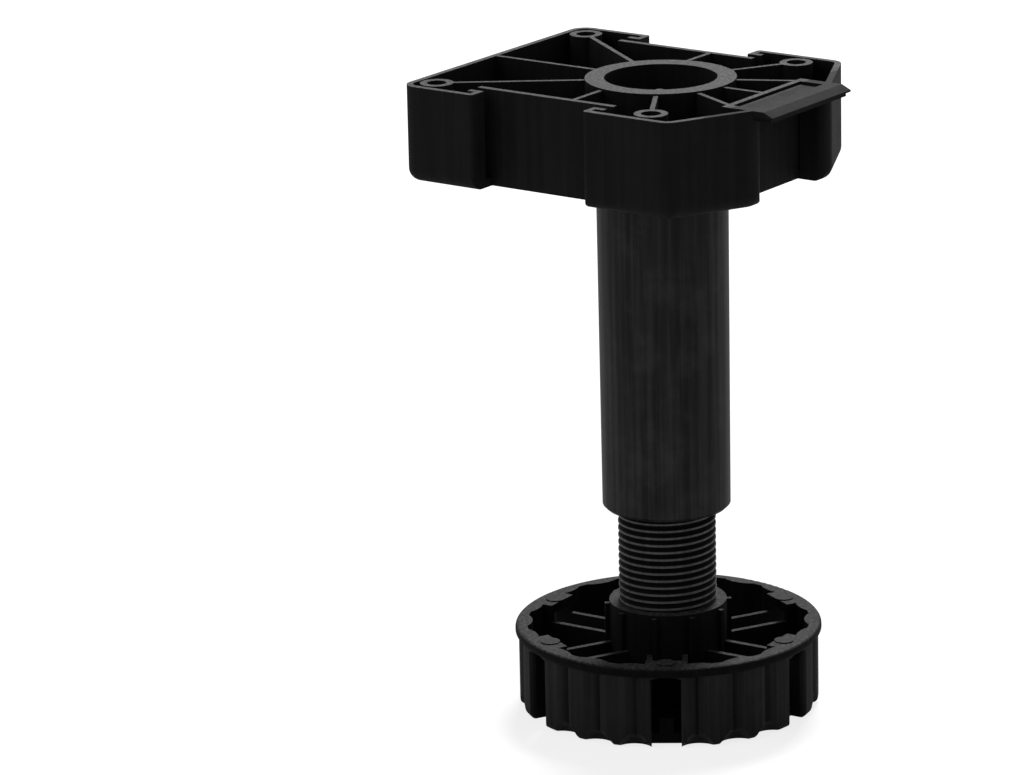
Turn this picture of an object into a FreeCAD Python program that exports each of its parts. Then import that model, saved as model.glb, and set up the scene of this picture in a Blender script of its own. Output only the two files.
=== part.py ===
import FreeCAD, Part
import math
import os

os.makedirs("parts", exist_ok=True)
V = FreeCAD.Vector

# Heights at the drawn setting, floor at zero
rim_height = 19.8
hub_height = 25.3
thread_shown = 23.3
tube_length = 80.3
head_height = 22.8
ring_proud = 0.4

# Tube and its bores
tube_top_d = 30.9
tube_foot_d = 30.3
tube_chamfer = 0.8
guide_length = 32.0
bore_d = 26.3
ring_d = 35.2
thread_clearance = 0.1

# Head tray
wall = 1.5
tray_floor = 2.0
rib = 1.1
hole_pitch = 60.0
plate_shift = 12.2
back_margin = 6.0
head_inset = 0.1
plate_reach = 36.5
cut_back = 10.0
cut_side = 20.3
bottom_round = 3.0
corner_extra = 1.0
cut_round = 4.0
boss_d = 7.8
hole_d = 4.6
side_rib_shift = 5.0
gate_d = 1.8
gate_turn = -56.7

# Clip tracks in the sides of the tray
side_track = 30.8
front_track = 25.4
track_depth = 7.2
side_gap = 2.4
front_gap = 0.6
hook_lap = 3.6
side_round = 1.0
front_round = 2.2

# Support tab on the front side
tab_half = 16.4
tab_reach = 5.0
tab_slope = 2.4
tab_drop = 1.1
tab_edge = 0.4
tab_thick = 2.5
tab_inset = 0.8
tab_border = 2.4
tab_strip = 3.6
tab_pocket = 0.7

# Foot dish
lip_d = 72.8
lip_height = 1.6
lip_overhang = 0.8
lip_round = 1.0
dish_wall = 2.0
dish_floor = 2.5
base_round = 1.5
foot_turn = 3.2
slots = 6
grooves_between = 3
groove_near = 17.7
groove_pitch = 15.2
groove_width = 6.0
groove_depth = 1.4
scallop_width = 9.0
scallop_depth = 3.4
scallop_height = 6.0
teeth_between = 3
tooth_pitch = 18.0
tooth_width = 8.8
tooth_depth = 1.3

# Slots, pads and channels of the foot
slot_width = 7.0
slot_rise = 0.6
slot_depth = 4.2
slot_round = 1.2
sill_height = 6.1
sill_width = 3.4
sill = 1.4
pad_thick = 2.2
pad_length = 5.8
pip_d = 4.5
pip_height = 0.25
channel_wall = 1.3
channel_height = 15.6

# Hub and threaded spindle
hub_d = 27.9
hub_ribs = 10
hub_rib = 1.2
hub_rib_reach = 1.1
hub_rib_step = 0.6
thread_d = 23.2
thread_depth = 0.95
thread_pitch = 1.75
thread_crest = 0.35
thread_root = 0.25
spindle_above = 52.0
spindle_bore_d = 16.6
spindle_floor = 4.0

# How far a cutter runs past what it cuts, and the tolerance for picking edges
over = 1.0
tiny = 1e-6

# Levels and radii that follow from the sizes above
tube_foot = hub_height + thread_shown
tray_under = tube_foot + tube_length
tray_top = tray_under + head_height
leg_top = tray_top + ring_proud
plate_back = -plate_shift - hole_pitch / 2 - back_margin
plate_side = lip_d / 2 - head_inset
wall_r = lip_d / 2 - lip_overhang
dish_r = wall_r - dish_wall
thread_r = thread_d / 2
spindle_top = tube_foot + spindle_above
slot_top = rim_height - pad_thick
rib_foot = tray_under + tray_floor / 2
dish_foot = dish_floor / 2
lip_under = rim_height - lip_height


def block(x0, x1, y0, y1, z0, z1):
    return Part.makeBox(x1 - x0, y1 - y0, z1 - z0, V(x0, y0, z0))


def rod(radius, z0, z1, x=0.0, y=0.0):
    return Part.makeCylinder(radius, z1 - z0, V(x, y, z0))


def curved_prism(steps, z0, z1):
    # A step of two points is an arc through the first to the second
    at = V(*steps[0], z0)
    lines = []
    for step in steps[1:] + steps[:1]:
        if isinstance(step[0], tuple):
            through, end = [V(*point, z0) for point in step]
            lines.append(Part.Arc(at, through, end).toShape())
        else:
            end = V(*step, z0)
            lines.append(Part.makeLine(at, end))
        at = end
    return Part.Face(Part.Wire(lines)).extrude(V(0, 0, z1 - z0))


def turned(shape, degrees):
    copy = shape.copy()
    copy.rotate(V(0, 0, 0), V(0, 0, 1), degrees)
    return copy


def joined(first, others):
    return first.fuse(others).removeSplitter()


def upright_edges(shape):
    found = []
    for edge in shape.Edges:
        a, b = edge.Vertexes[0].Point, edge.Vertexes[-1].Point
        if abs(a.x - b.x) < tiny and abs(a.y - b.y) < tiny:
            found.append(edge)
    return found


# Head tray

def plate_block(inset, z0, z1):
    back = plate_back
    side = plate_side
    front = plate_reach
    outline = [(back, -side), (front - cut_back, -side), (front, cut_side - side),
               (front, side - cut_side), (front - cut_back, side), (back, side)]
    corners = [V(x, y, z0) for x, y in outline]
    wire = Part.makePolygon(corners + corners[:1])
    if inset:
        wire = wire.makeOffset2D(-inset)
    solid = Part.Face(wire).extrude(V(0, 0, z1 - z0))
    sharp = [e for e in upright_edges(solid) if e.Vertexes[0].X < 0]
    solid = solid.makeFillet(bottom_round + corner_extra - inset, sharp)
    blunt = [e for e in upright_edges(solid) if e.Vertexes[0].X > 0]
    return solid.makeFillet(cut_round - inset, blunt)


def tray():
    outer = plate_block(0.0, tray_under, tray_top)
    rim = [e for e in outer.Edges if e.BoundBox.ZMax < tray_under + tiny]
    outer = outer.makeFillet(bottom_round, rim)
    return outer.cut(plate_block(wall, tray_under + tray_floor, tray_top + over))


def corner_cut(x, side, face, radius):
    low = tray_under - over
    high = tray_top + over
    middle = x + side * radius
    ends = sorted((x - side * over, middle))
    square = block(*ends, face - radius, face + over, low, high)
    return square.cut(rod(radius, low, high, middle, face - radius))


def track(centre, face, width, gap, corner):
    seat = face - track_depth
    inner = seat + gap
    left = centre - width / 2
    right = centre + width / 2
    opening = block(left, right, seat, face + over, tray_under - over, tray_top + over)
    back = block(left - hook_lap, right + hook_lap, seat - wall, seat, rib_foot, tray_top)
    lower = block(left, right, seat - wall, seat, tray_under, tray_top)
    hooks = [
        block(left - wall, left, inner, face - wall / 2, rib_foot, tray_top),
        block(left - hook_lap, left, inner, inner + wall, rib_foot, tray_top),
        block(right, right + wall, inner, face - wall / 2, rib_foot, tray_top),
        block(right, right + hook_lap, inner, inner + wall, rib_foot, tray_top),
    ]
    trims = [corner_cut(left, -1, face, corner), corner_cut(right, 1, face, corner)]
    return [opening], [back, lower] + hooks, trims


def tracks():
    groups = []
    sides = track(-plate_shift, plate_side, side_track, side_gap, side_round)
    front = track(0.0, plate_reach, front_track, front_gap, front_round)
    for side_shapes, front_shapes in zip(sides, front):
        across = [shape.mirror(V(0, 0, 0), V(0, 1, 0)) for shape in side_shapes]
        groups.append(side_shapes + across + [turned(shape, -90) for shape in front_shapes])
    return groups


def rib_to(x, y, start_x=0.0, start_y=0.0):
    length = math.hypot(x - start_x, y - start_y)
    strip = block(0, length, -rib / 2, rib / 2, rib_foot, tray_top)
    strip.rotate(V(0, 0, 0), V(0, 0, 1), math.degrees(math.atan2(y - start_y, x - start_x)))
    strip.translate(V(start_x, start_y, 0))
    return strip


def hole_places():
    half = hole_pitch / 2
    return [(-plate_shift + sx * half, sy * half) for sx in (-1, 1) for sy in (-1, 1)]


def ribs():
    seat_side = plate_side - track_depth - wall / 2
    seat_front = plate_reach - track_depth - wall / 2
    strips = [rib_to(x, y) for x, y in hole_places()]
    strips.append(rib_to(plate_back + wall / 2, 0))
    strips.append(rib_to(seat_front, 0))
    for side in (-1, 1):
        strips.append(rib_to(-side_rib_shift, side * seat_side, -side_rib_shift, 0))
        strips.append(rib_to(seat_front, side * (front_track / 2 + wall)))
    return strips


def tab():
    root = plate_reach - track_depth - wall / 2
    edge = plate_reach + tab_reach
    slope = edge - tab_slope
    low = tray_top - tab_drop
    under = low - tab_edge
    profile = [(root, tray_top), (slope, tray_top), (edge, low), (edge, under), (root, under)]
    corners = [V(x, -tab_half, z) for x, z in profile]
    shelf = Part.Face(Part.makePolygon(corners + corners[:1])).extrude(V(0, 2 * tab_half, 0))
    half = tab_half - tab_inset
    web = block(root, edge - tab_inset, -half, half, tray_top - tab_thick, low)
    pocket = block(root + wall / 2, slope - tab_strip, tab_border - tab_half, tab_half - tab_border,
                   tray_top - tab_pocket, tray_top + over)
    return [shelf, web], pocket


def leg_body():
    openings, hooks, trims = tracks()
    body = tray().cut(Part.makeCompound(openings))
    body = joined(body, hooks).cut(Part.makeCompound(trims))
    bosses = [rod(boss_d / 2, rib_foot, tray_top, x, y) for x, y in hole_places()]
    shelf, pocket = tab()
    ring = rod(ring_d / 2, rib_foot, leg_top)
    tube = Part.makeCone(tube_foot_d / 2, tube_top_d / 2, tube_length + tray_floor / 2, V(0, 0, tube_foot))
    tube = tube.makeChamfer(tube_chamfer, [e for e in tube.Edges if e.BoundBox.ZMax < tube_foot + tiny])
    body = joined(body, ribs() + bosses + shelf + [ring, tube])
    holes = [rod(hole_d / 2, tray_under - over, tray_top + over, x, y) for x, y in hole_places()]
    guide_top = tube_foot + guide_length
    guide = rod(thread_r + thread_clearance, tube_foot - over, guide_top + over)
    bore = rod(bore_d / 2, guide_top, leg_top + over)
    body = body.cut(Part.makeCompound(holes + [pocket])).cut(guide.fuse(bore))
    gate = rod(gate_d / 2, leg_top - rib, leg_top, bore_d / 2, 0)
    return joined(body, [turned(gate, gate_turn)])


# Foot

def around(shape, count):
    return [turned(shape, i * 360 / count) for i in range(count)]


def dish_block():
    top = rim_height
    lip_r = lip_d / 2
    bend = 1 - math.sqrt(0.5)
    a = V(0, 0, 0)
    b = V(wall_r - base_round, 0, 0)
    base_bend = V(wall_r - bend * base_round, 0, bend * base_round)
    c = V(wall_r, 0, base_round)
    d = V(wall_r, 0, lip_under - lip_overhang)
    e = V(lip_r, 0, lip_under)
    f = V(lip_r, 0, top - lip_round)
    lip_bend = V(lip_r - bend * lip_round, 0, top - bend * lip_round)
    g = V(lip_r - lip_round, 0, top)
    h = V(0, 0, top)
    edges = [Part.makeLine(a, b), Part.Arc(b, base_bend, c).toShape(), Part.makeLine(c, d),
             Part.makeLine(d, e), Part.makeLine(e, f), Part.Arc(f, lip_bend, g).toShape(),
             Part.makeLine(g, h), Part.makeLine(h, a)]
    face = Part.Face(Part.Wire(edges))
    return face.revolve(V(0, 0, 0), V(0, 0, 1), 360)


def groove():
    # Two lobes of the wall bend in to meet in a cusp
    half = groove_width / 2
    radius = (half ** 2 + groove_depth ** 2) / (2 * groove_depth)
    bend = math.asin(half / radius) / 2
    x = wall_r - radius + radius * math.cos(bend)
    y = half - radius * math.sin(bend)
    tip = (wall_r - groove_depth, 0)
    outer = wall_r + lip_overhang
    return curved_prism([(outer, -half), (wall_r, -half), ((x, -y), tip), ((x, y), (wall_r, half)),
                         (outer, half)], -over, lip_under - lip_overhang)


def scallop():
    # A groove opens out in a cone towards the floor
    half = scallop_width / 2
    radius = (half ** 2 + scallop_depth ** 2) / (2 * scallop_depth)
    below = radius * (1 + over / scallop_height)
    return Part.makeCone(below, 0, scallop_height + over, V(wall_r - scallop_depth + radius, 0, -over))


def tooth():
    half = tooth_width / 2
    outer = dish_r + dish_wall / 2
    return curved_prism([(outer, -half), (dish_r, -half), ((dish_r - tooth_depth, 0), (dish_r, half)),
                         (outer, half)], dish_foot, rim_height)


def slot_cuts():
    half = slot_width / 2
    spring = slot_top - slot_rise
    x = wall_r - slot_depth
    a = V(x, -half, -over)
    b = V(x, half, -over)
    c = V(x, half, spring)
    d = V(x, -half, spring)
    arch = Part.Arc(c, V(x, 0, slot_top), d).toShape()
    wire = Part.Wire([Part.makeLine(a, b), Part.makeLine(b, c), arch, Part.makeLine(d, a)])
    through = Part.Face(wire).extrude(V(slot_depth + lip_overhang / 2, 0, 0))
    inner = wall_r - slot_round
    outer = wall_r + lip_overhang
    wide = half + slot_round
    x = wall_r - slot_round * (1 - math.sqrt(0.5))
    y = half + wall_r - x
    flare = curved_prism([(outer, -wide), (wall_r, -wide), ((x, -y), (inner, -half)), (inner, half),
                          ((x, y), (wall_r, wide)), (outer, wide)], -over, spring)
    return [through, flare]


def slot_parts():
    start = wall_r - pad_length
    end = dish_r + dish_wall / 2
    gap = slot_width / 2
    half = gap + channel_wall
    parts = [block(start, end, -half, half, slot_top, rim_height)]
    middle = rim_height - pad_thick / 2
    parts.append(rod(pip_d / 2, middle, rim_height + pip_height, (start + dish_r) / 2, 0))
    inner = (hub_d / 2 + thread_r) / 2
    for y in (-half, gap):
        parts.append(block(start, end, y, y + channel_wall, dish_foot, middle))
        parts.append(block(inner, start, y, y + channel_wall, dish_foot, channel_height))
    back = wall_r - slot_depth
    parts.append(block(back - sill, back, -sill_width / 2, sill_width / 2, 0, sill_height))
    return parts


def helix_turn(radius, z):
    turn = Part.makeHelix(thread_pitch, thread_pitch, radius).Edges[0]
    turn.translate(V(0, 0, z))
    return turn


def spindle():
    root_r = thread_r - thread_depth
    flank = (thread_pitch - thread_root - thread_crest) / 2
    rise = thread_root + flank
    stops = [(root_r, 0.0), (root_r, thread_root), (thread_r, rise), (thread_r, rise + thread_crest),
             (root_r, thread_pitch)]
    start = hub_height - 2 * thread_pitch
    count = int((spindle_top - start) / thread_pitch) - 1
    faces = []
    for k in range(count):
        lines = [helix_turn(r, start + k * thread_pitch + dz) for r, dz in stops]
        faces += [Part.makeRuledSurface(a, b) for a, b in zip(lines, lines[1:])]
    for z in (start, start + count * thread_pitch):
        axis = Part.makeLine(V(0, 0, z), V(0, 0, z + thread_pitch))
        faces.append(Part.makeRuledSurface(helix_turn(root_r, z), axis))
        corners = [V(0, 0, z)] + [V(r, 0, z + dz) for r, dz in stops] + [V(0, 0, z + thread_pitch)]
        faces.append(Part.Face(Part.makePolygon(corners + corners[:1])))
    sheet = Part.makeCompound(faces)
    sheet.sewShape(1e-4)
    return Part.Solid(sheet.Shells[0])


def foot():
    pitch = 360 / slots
    first = (pitch - (teeth_between - 1) * tooth_pitch) / 2
    tooth_turns = [i * pitch + first + j * tooth_pitch for i in range(slots) for j in range(teeth_between)]
    beside = [side * (groove_near + j * groove_pitch) for side in (-1, 1) for j in range(grooves_between)]
    groove_turns = [i * pitch + angle for i in range(0, slots, 2) for angle in beside]
    dish = dish_block().cut(rod(dish_r, dish_floor, rim_height + over))
    dish = joined(dish, [turned(tooth(), t) for t in tooth_turns])
    for cutter in (groove(), scallop()):
        dish = dish.cut(Part.makeCompound([turned(cutter, t) for t in groove_turns]))
    for cutter in slot_cuts():
        dish = dish.cut(Part.makeCompound(around(cutter, slots)))
    adds = []
    for piece in slot_parts():
        adds += around(piece, slots)
    adds.append(rod(hub_d / 2, dish_foot, hub_height))
    fin = block(0, hub_d / 2 + hub_rib_reach, -hub_rib / 2, hub_rib / 2, dish_foot, hub_height - hub_rib_step)
    adds += around(fin, hub_ribs)
    solid = turned(joined(dish, adds), foot_turn)
    solid = solid.fuse(spindle())
    return solid.cut(rod(spindle_bore_d / 2, spindle_floor, spindle_top + over))


leg_body().exportStep("parts/leg_body.step")
foot().exportStep("parts/foot.step")
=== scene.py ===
import math

import bpy
from mathutils import Matrix


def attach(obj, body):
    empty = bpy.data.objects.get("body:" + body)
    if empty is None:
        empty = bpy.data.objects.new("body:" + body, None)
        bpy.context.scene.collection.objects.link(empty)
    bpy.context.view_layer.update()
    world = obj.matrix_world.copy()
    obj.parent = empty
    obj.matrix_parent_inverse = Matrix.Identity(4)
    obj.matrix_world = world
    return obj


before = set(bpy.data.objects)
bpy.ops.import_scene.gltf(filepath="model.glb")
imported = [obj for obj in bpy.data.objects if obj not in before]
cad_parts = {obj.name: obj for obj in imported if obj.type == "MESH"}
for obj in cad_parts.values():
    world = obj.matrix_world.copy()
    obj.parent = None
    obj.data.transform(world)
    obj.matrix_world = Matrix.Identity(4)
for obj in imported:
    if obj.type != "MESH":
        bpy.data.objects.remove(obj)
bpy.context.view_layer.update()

mm = 0.001

# Camera, in the frame of the leg with its axis at the origin
camera_lens = 190.95
camera_sensor = 36.0
camera_away = 1.225
camera_height = 0.43506
camera_azimuth = math.radians(34.5)
camera_aside = math.radians(1.681)
camera_down = math.radians(16.252)
camera_roll = math.radians(-1.269)

# Floor and light
floor_size = 12.0
floor_white = 0.9
floor_roughness = 0.9
floor_glow = 0.8
dome_level = 0.17
lamp_aim_height = 80.0 * mm

# Black plastic: the shades of its faces, darkest and palest, its shine and its texture; the lip and core
# shades are painted shade, the crest shades a painted highlight and the top shades partly painted sheen
leg_walls = (0.0046, 0.008)
tube_walls = (0.0035, 0.0205)
foot_walls = (0.007, 0.0165)
# Painted shade: the lip's outer face darkened as if shaded by its overhang
lip_painted_shade = (0.001, 0.003)
# Painted shade: inside the foot's outer wall, the dish and hub darkened where they lie in shade
core_painted_shade = (0.0018, 0.0045)
# Painted highlight: the thread's crests paler where they catch the light
crest_painted_highlight = (0.045, 0.09)
# Paler tops, partly a paler finish and partly painted sheen of light from above
leg_pale_and_sheen_tops = (0.024, 0.066)
foot_pale_and_sheen_tops = (0.011, 0.036)
tab_dulling = 0.92
tube_shine = 0.1
crest_shine = 0.1
shine_roughness = 0.2
plastic_specular = 0.03
wall_roughness = (0.65, 0.8)
top_roughness = 0.6
cool_tint = 1.03
grain_size = 0.3 * mm
grain_depth = 0.02 * mm
grain_speckle = (0.42, 0.68)
grain_share = 0.65
mottle_size = 0.8 * mm
mark_width = 1.4 * mm
mark_stretch = 0.025
mark_contrast = (0.3, 0.72)
mark_share = 0.65
mark_relief = 0.6
scuff_size = 9.0 * mm
scuff_contrast = (0.45, 0.7)
scuff_share = 0.35

# Where the faces that differ in shade lie, and how softly they end
tube_radius = 16.2 * mm
tray_under = 128.9 * mm
tray_top = 151.7 * mm
core_radius = 34.1 * mm
wall_radius = 35.6 * mm
lip_under = 17.2 * mm
tab_start = 30.0 * mm
crest_inner = 11.35 * mm
crest_outer = 12.3 * mm
hub_top = 25.5 * mm
channel_top = 15.6 * mm
fade = 0.6 * mm
long_fade = 3 * fade
sharp_fade = 0.12 * mm
facing_up = (0.5, 0.95)
nowhere = -1.0
everywhere = 1.0


def link(tree, source, target):
    tree.links.new(source, target)


def node(tree, kind, **settings):
    made = tree.nodes.new(kind)
    for name, value in settings.items():
        setattr(made, name, value)
    return made


def math_node(tree, operation, *values):
    made = node(tree, "ShaderNodeMath", operation=operation)
    for socket, value in zip(made.inputs, values):
        if hasattr(value, "is_linked"):
            link(tree, value, socket)
        else:
            socket.default_value = value
    return made.outputs[0]


def shader_group(title, vectors, values, outputs):
    tree = bpy.data.node_groups.new(title, "ShaderNodeTree")
    for label in vectors:
        tree.interface.new_socket(label, in_out="INPUT", socket_type="NodeSocketVector")
    for label in values:
        tree.interface.new_socket(label, in_out="INPUT", socket_type="NodeSocketFloat")
    for label in outputs:
        tree.interface.new_socket(label, in_out="OUTPUT", socket_type="NodeSocketFloat")
    return tree, tree.nodes.new("NodeGroupInput"), tree.nodes.new("NodeGroupOutput")


def noise(tree, vector, scale, detail, roughness):
    made = node(tree, "ShaderNodeTexNoise")
    made.inputs["Detail"].default_value = detail
    made.inputs["Roughness"].default_value = roughness
    link(tree, vector, made.inputs["Vector"])
    link(tree, scale, made.inputs["Scale"])
    return made.outputs["Fac"]


def ramp(tree, value, low, high):
    made = node(tree, "ShaderNodeMapRange", interpolation_type="SMOOTHSTEP")
    made.inputs["From Min"].default_value = low
    made.inputs["From Max"].default_value = high
    link(tree, value, made.inputs["Value"])
    return made.outputs["Result"]


def axis_of(tree, vector, axis):
    made = node(tree, "ShaderNodeSeparateXYZ")
    link(tree, vector, made.inputs["Vector"])
    return made.outputs[axis]


# Finishes shared by the two mouldings, and the painted sheen of their tops

def mould_grain():
    """Fine texture that the mould leaves all over the plastic."""
    tree, start, end = shader_group("mould_grain", ["Vector"], ["Scale"], ["Height", "Speckle"])
    height = noise(tree, start.outputs["Vector"], start.outputs["Scale"], detail=2.0, roughness=0.6)
    link(tree, height, end.inputs["Height"])
    link(tree, ramp(tree, height, *grain_speckle), end.inputs["Speckle"])
    return tree


def draw_marks():
    """Upright streaks from drawing the moulding out of its mould."""
    tree, start, end = shader_group("draw_marks", ["Vector"], ["Scale"], ["Mask", "Height"])
    stretched = node(tree, "ShaderNodeMapping")
    stretched.inputs["Scale"].default_value = (1.0, 1.0, mark_stretch)
    link(tree, start.outputs["Vector"], stretched.inputs["Vector"])
    streaks = noise(tree, stretched.outputs["Vector"], start.outputs["Scale"], detail=3.0, roughness=0.55)
    link(tree, ramp(tree, streaks, *mark_contrast), end.inputs["Mask"])
    link(tree, streaks, end.inputs["Height"])
    return tree


def handling_scuffs():
    """Patches where the plastic has been rubbed a little duller."""
    tree, start, end = shader_group("handling_scuffs", ["Vector"], ["Scale"], ["Mask"])
    patches = noise(tree, start.outputs["Vector"], start.outputs["Scale"], detail=4.0, roughness=0.6)
    link(tree, ramp(tree, patches, *scuff_contrast), end.inputs["Mask"])
    return tree


def pale_and_sheen_tops():
    """Upward faces between two heights: the paler tops of walls and ribs, partly a paler finish and partly
    painted sheen of light from above, less pale past a reach.
    """
    tree, start, end = shader_group("pale_and_sheen_tops", ["Vector", "Normal"], ["Low", "High", "Reach"], ["Mask"])
    height = axis_of(tree, start.outputs["Vector"], "Z")
    upward = ramp(tree, axis_of(tree, start.outputs["Normal"], "Z"), *facing_up)
    above = math_node(tree, "SUBTRACT", height, start.outputs["Low"])
    below = math_node(tree, "SUBTRACT", start.outputs["High"], height)
    between = math_node(tree, "MULTIPLY", ramp(tree, above, 0.0, long_fade), ramp(tree, below, 0.0, fade))
    past = math_node(tree, "SUBTRACT", axis_of(tree, start.outputs["Vector"], "X"), start.outputs["Reach"])
    kept = math_node(tree, "MULTIPLY_ADD", ramp(tree, past, 0.0, fade), -tab_dulling, 1.0)
    tops = math_node(tree, "MULTIPLY", upward, between)
    link(tree, math_node(tree, "MULTIPLY", tops, kept), end.inputs["Mask"])
    return tree


def round_zone():
    """Everything between two radii from the leg's axis and between two heights."""
    tree, start, end = shader_group("round_zone", ["Vector"], ["Inner", "Outer", "Low", "High"], ["Mask"])
    x = axis_of(tree, start.outputs["Vector"], "X")
    y = axis_of(tree, start.outputs["Vector"], "Y")
    height = axis_of(tree, start.outputs["Vector"], "Z")
    squared = math_node(tree, "ADD", math_node(tree, "MULTIPLY", x, x), math_node(tree, "MULTIPLY", y, y))
    radius = math_node(tree, "SQRT", squared)
    margins = (math_node(tree, "SUBTRACT", radius, start.outputs["Inner"]),
               math_node(tree, "SUBTRACT", start.outputs["Outer"], radius),
               math_node(tree, "SUBTRACT", height, start.outputs["Low"]),
               math_node(tree, "SUBTRACT", start.outputs["High"], height))
    least = margins[0]
    for margin in margins[1:]:
        least = math_node(tree, "MINIMUM", least, margin)
    link(tree, ramp(tree, least, 0.0, sharp_fade), end.inputs["Mask"])
    return tree


def place(tree, group, vector, **values):
    made = node(tree, "ShaderNodeGroup", node_tree=group)
    link(tree, vector, made.inputs["Vector"])
    for name, value in values.items():
        made.inputs[name].default_value = value
    return made


def grey_between(tree, shades, factor):
    made = node(tree, "ShaderNodeMix", data_type="RGBA")
    for name, shade in zip("AB", shades):
        made.inputs[name].default_value = (shade, shade, cool_tint * shade, 1.0)
    link(tree, factor, made.inputs["Factor"])
    return made.outputs["Result"]


def colour_by(tree, mask, without, within):
    made = node(tree, "ShaderNodeMix", data_type="RGBA")
    link(tree, mask, made.inputs["Factor"])
    link(tree, without, made.inputs["A"])
    link(tree, within, made.inputs["B"])
    return made.outputs["Result"]


def black_plastic(title, groups, walls, zones, tops, limits):
    """Black moulded plastic: its walls, the zones round its axis with a shine, where the foot's lip and
    core get painted shade and its thread crests a painted highlight, and its paler tops, partly painted
    sheen.
    """
    made = bpy.data.materials.new(title)
    made.use_nodes = True
    tree = made.node_tree
    shader = tree.nodes["Principled BSDF"]
    coordinates = node(tree, "ShaderNodeTexCoord")
    where = coordinates.outputs["Object"]
    texture = place(tree, groups["grain"], where, Scale=1.0 / grain_size)
    marks = place(tree, groups["marks"], where, Scale=1.0 / mark_width)
    scuffs = place(tree, groups["scuffs"], where, Scale=1.0 / scuff_size)
    mottle = place(tree, groups["grain"], where, Scale=1.0 / mottle_size)
    top = place(tree, groups["tops"], where, **limits)
    link(tree, coordinates.outputs["Normal"], top.inputs["Normal"])

    rubbed = math_node(tree, "MULTIPLY", scuffs.outputs["Mask"], scuff_share)
    streaked = math_node(tree, "MULTIPLY_ADD", marks.outputs["Mask"], mark_share, rubbed)
    colour = grey_between(tree, walls, streaked)
    coat = 0.0
    for shades, shine, reach in zones:
        zone = place(tree, groups["zone"], where, **reach)
        colour = colour_by(tree, zone.outputs["Mask"], colour, grey_between(tree, shades, streaked))
        coat = math_node(tree, "MULTIPLY_ADD", zone.outputs["Mask"], shine, coat)
    link(tree, coat, shader.inputs["Coat Weight"])
    shader.inputs["Coat Roughness"].default_value = shine_roughness
    # Painted sheen: upward tops made paler, partly a paler finish and partly light falling from above
    pale_and_sheen = grey_between(tree, tops, mottle.outputs["Speckle"])
    link(tree, colour_by(tree, top.outputs["Mask"], colour, pale_and_sheen), shader.inputs["Base Color"])

    worn = math_node(tree, "MULTIPLY_ADD", texture.outputs["Speckle"], grain_share, rubbed)
    dull = node(tree, "ShaderNodeMapRange")
    dull.inputs["To Min"].default_value = wall_roughness[0]
    dull.inputs["To Max"].default_value = wall_roughness[1]
    link(tree, worn, dull.inputs["Value"])
    rough = node(tree, "ShaderNodeMix")
    rough.inputs["B"].default_value = top_roughness
    link(tree, top.outputs["Mask"], rough.inputs["Factor"])
    link(tree, dull.outputs["Result"], rough.inputs["A"])
    link(tree, rough.outputs["Result"], shader.inputs["Roughness"])

    relief = math_node(tree, "MULTIPLY_ADD", marks.outputs["Height"], mark_relief,
                       texture.outputs["Height"])
    bump = node(tree, "ShaderNodeBump")
    bump.inputs["Strength"].default_value = 1.0
    bump.inputs["Distance"].default_value = grain_depth
    link(tree, relief, bump.inputs["Height"])
    link(tree, bump.outputs["Normal"], shader.inputs["Normal"])
    shader.inputs["Specular IOR Level"].default_value = plastic_specular
    return made


def finish_mouldings():
    groups = {"grain": mould_grain(), "marks": draw_marks(), "scuffs": handling_scuffs(),
              "tops": pale_and_sheen_tops(), "zone": round_zone()}
    tube = {"Inner": nowhere, "Outer": tube_radius, "Low": nowhere, "High": tray_under}
    # Painted shade on the inside of the foot
    shaded_core = {"Inner": nowhere, "Outer": core_radius, "Low": nowhere, "High": everywhere}
    # Painted highlight on the thread's crests; their shine is a real coat
    highlit_crests = {"Inner": crest_inner, "Outer": crest_outer, "Low": hub_top, "High": everywhere}
    # Painted shade on the lip's outer face
    shaded_lip = {"Inner": wall_radius, "Outer": everywhere, "Low": lip_under, "High": everywhere}
    leg_zones = [(tube_walls, tube_shine, tube)]
    foot_zones = [(core_painted_shade, 0.0, shaded_core), (lip_painted_shade, 0.0, shaded_lip), (crest_painted_highlight, crest_shine, highlit_crests)]
    leg_limits = {"Low": tray_top - long_fade, "High": tray_top + long_fade, "Reach": tab_start}
    foot_limits = {"Low": channel_top - long_fade, "High": hub_top + fade, "Reach": everywhere}
    finishes = {
        "leg_body": black_plastic("leg_plastic", groups, leg_walls, leg_zones, leg_pale_and_sheen_tops, leg_limits),
        "foot": black_plastic("foot_plastic", groups, foot_walls, foot_zones, foot_pale_and_sheen_tops, foot_limits),
    }
    for name, finish in finishes.items():
        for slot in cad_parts[name].material_slots:
            slot.material = finish


# Studio

def background_rays(tree):
    path = node(tree, "ShaderNodeLightPath")
    seen = math_node(tree, "MAXIMUM", path.outputs["Is Camera Ray"], path.outputs["Is Glossy Ray"])
    return math_node(tree, "MAXIMUM", seen, path.outputs["Is Transmission Ray"])


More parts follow.
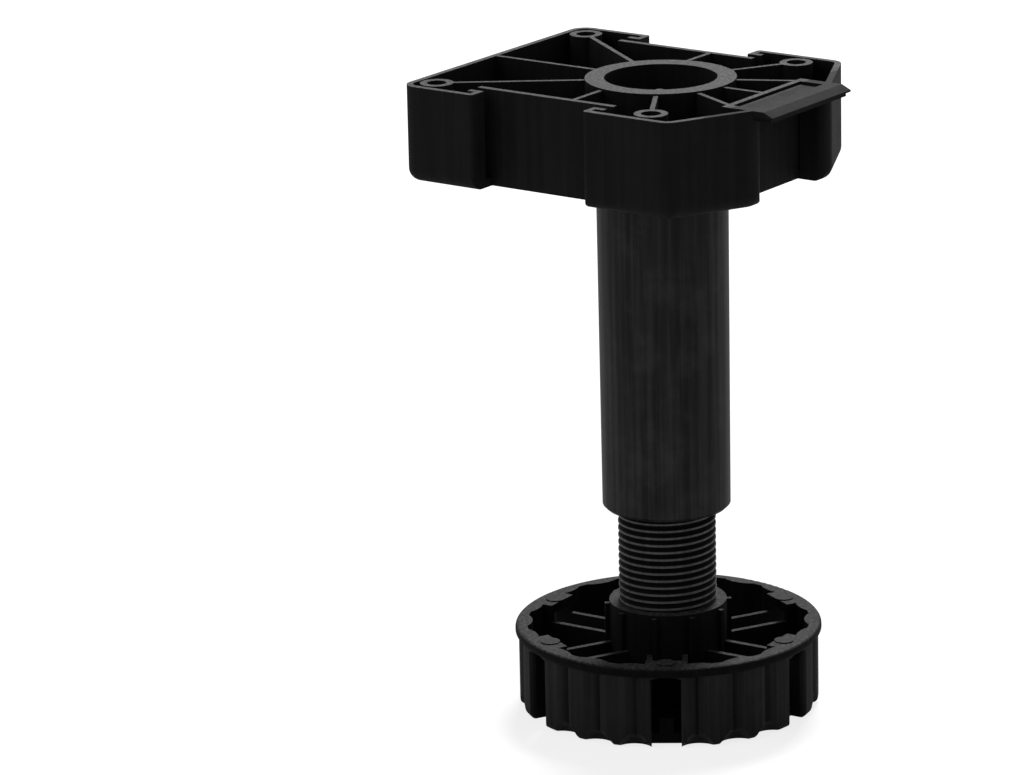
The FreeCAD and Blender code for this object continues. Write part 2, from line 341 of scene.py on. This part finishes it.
def floor():
    bpy.ops.mesh.primitive_plane_add(size=floor_size)
    made = bpy.context.object
    made.name = "floor"
    paper = bpy.data.materials.new("white_paper")
    paper.use_nodes = True
    tree = paper.node_tree
    shader = tree.nodes["Principled BSDF"]
    shader.inputs["Base Color"].default_value = (floor_white, floor_white, floor_white, 1.0)
    shader.inputs["Roughness"].default_value = floor_roughness
    shader.inputs["Specular IOR Level"].default_value = 0.0
    glow = node(tree, "ShaderNodeEmission")
    mix = node(tree, "ShaderNodeMixShader")
    link(tree, math_node(tree, "MULTIPLY", background_rays(tree), floor_glow), mix.inputs["Fac"])
    link(tree, shader.outputs["BSDF"], mix.inputs[1])
    link(tree, glow.outputs["Emission"], mix.inputs[2])
    link(tree, mix.outputs["Shader"], tree.nodes["Material Output"].inputs["Surface"])
    made.data.materials.append(paper)
    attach(made, "foot")


def dome():
    world = bpy.data.worlds.new("studio")
    world.use_nodes = True
    bpy.context.scene.world = world
    tree = world.node_tree
    shade = tree.nodes["Background"]
    level = node(tree, "ShaderNodeMapRange")
    level.inputs["To Min"].default_value = dome_level
    level.inputs["To Max"].default_value = 1.0
    link(tree, background_rays(tree), level.inputs["Value"])
    shade.inputs["Color"].default_value = (1.0, 1.0, 1.0, 1.0)
    link(tree, level.outputs["Result"], shade.inputs["Strength"])


def soft_box(title, turn, height, away, size, power):
    azimuth = camera_azimuth + math.radians(turn)
    lamp = bpy.data.lights.new(title, "AREA")
    lamp.shape = "SQUARE"
    lamp.size = size
    lamp.energy = power
    made = bpy.data.objects.new(title, lamp)
    bpy.context.scene.collection.objects.link(made)
    made.location = (away * math.sin(azimuth), -away * math.cos(azimuth), height)
    aim = made.location.copy()
    aim.z -= lamp_aim_height
    made.rotation_euler = aim.to_track_quat("Z", "Y").to_euler()


def camera():
    lens = bpy.data.cameras.new("camera")
    lens.lens = camera_lens
    lens.sensor_width = camera_sensor
    made = bpy.data.objects.new("camera", lens)
    bpy.context.scene.collection.objects.link(made)
    place_at = Matrix.Translation((camera_away * math.sin(camera_azimuth),
                                   -camera_away * math.cos(camera_azimuth), camera_height))
    turn = Matrix.Rotation(camera_azimuth + camera_aside, 4, "Z")
    tip = Matrix.Rotation(math.pi / 2 - camera_down, 4, "X")
    made.matrix_world = place_at @ turn @ tip @ Matrix.Rotation(camera_roll, 4, "Z")
    bpy.context.scene.camera = made


finish_mouldings()
floor()
dome()
soft_box("key_back", turn=170, height=1.3, away=1.2, size=0.5, power=50.0)
soft_box("fill_left", turn=-65, height=1.0, away=1.4, size=1.2, power=10.0)
soft_box("fill_right", turn=60, height=1.2, away=1.5, size=1.2, power=5.0)
camera()
bpy.context.scene.view_settings.view_transform = "Standard"
